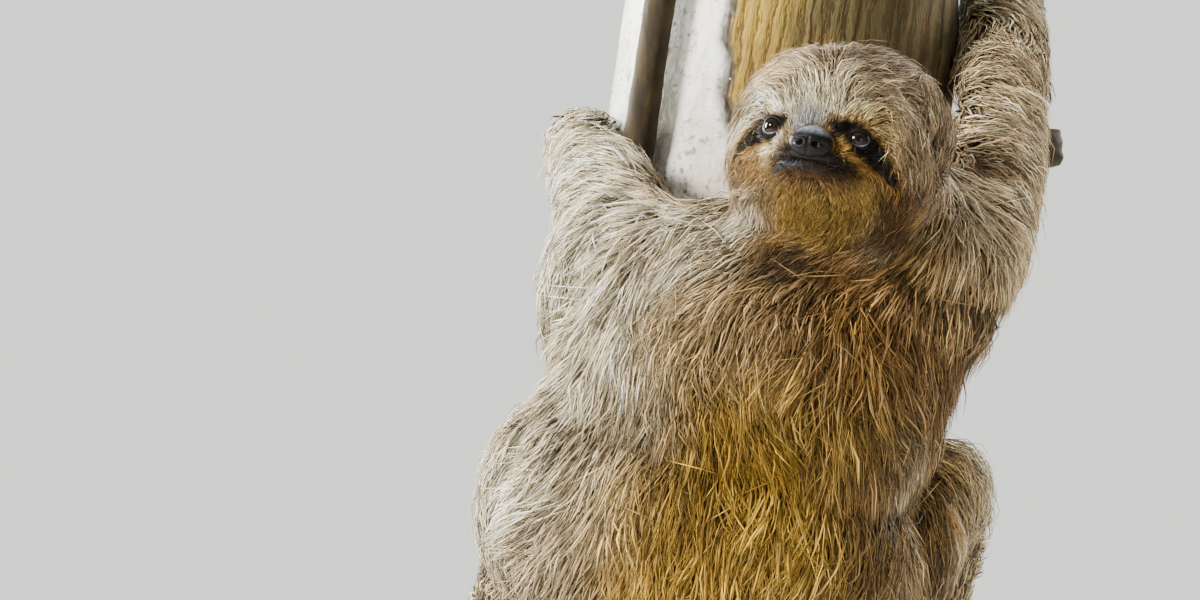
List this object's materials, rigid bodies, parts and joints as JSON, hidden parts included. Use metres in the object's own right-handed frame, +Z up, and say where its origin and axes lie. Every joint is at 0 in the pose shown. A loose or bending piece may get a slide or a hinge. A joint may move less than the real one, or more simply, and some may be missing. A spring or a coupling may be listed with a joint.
{
  "type": "three-toed sloth",
  "caption": "Life-size three-toed sloth clinging to a cut length of tree trunk, its head turned to look out over its back, on a plain round display stand.",
  "frame": {"origin": "middle of the underside of the round stand, on the floor", "axes": "+Z up along the stand, the sloth's back and face towards -Y, the trunk behind it towards +Y, and the trunk's top leaning towards +X"},
  "size_m": [0.41, 0.41, 0.7014],
  "materials": {
    "coat": "coarse matt fur, greyish brown",
    "nose_skin": "bare dark skin, slightly moist",
    "eye": "wet, very dark brown",
    "claw": "horn, satin, yellowish brown",
    "bark": "rough bark, pale and brown",
    "plinth": "dark stained wood, satin",
    "steel": "satin"
  },
  "bodies": {
    "root": {"head": "coat", "neck": "coat", "chest": "coat", "belly": "coat", "tail": "coat", "left_upper_arm": "coat", "left_forearm": "coat", "left_hand": "coat", "left_thigh": "coat", "left_shin": "coat", "left_foot": "coat", "right_upper_arm": "coat", "right_forearm": "coat", "right_hand": "coat", "right_thigh": "coat", "right_shin": "coat", "right_foot": "coat", "nose": "nose_skin", "left_eye": "eye", "right_eye": "eye", "left_hand_claw_1": "claw", "left_hand_claw_2": "claw", "left_hand_claw_3": "claw", "left_foot_claw_1": "claw", "left_foot_claw_2": "claw", "left_foot_claw_3": "claw", "right_hand_claw_1": "claw", "right_hand_claw_2": "claw", "right_hand_claw_3": "claw", "right_foot_claw_1": "claw", "right_foot_claw_2": "claw", "right_foot_claw_3": "claw", "perch_log": "bark", "perch_shoot": "bark", "perch_stub": "bark", "stand_base": "plinth", "stand_rod_1": "steel", "stand_rod_2": "steel"}
  },
  "joints": []
}
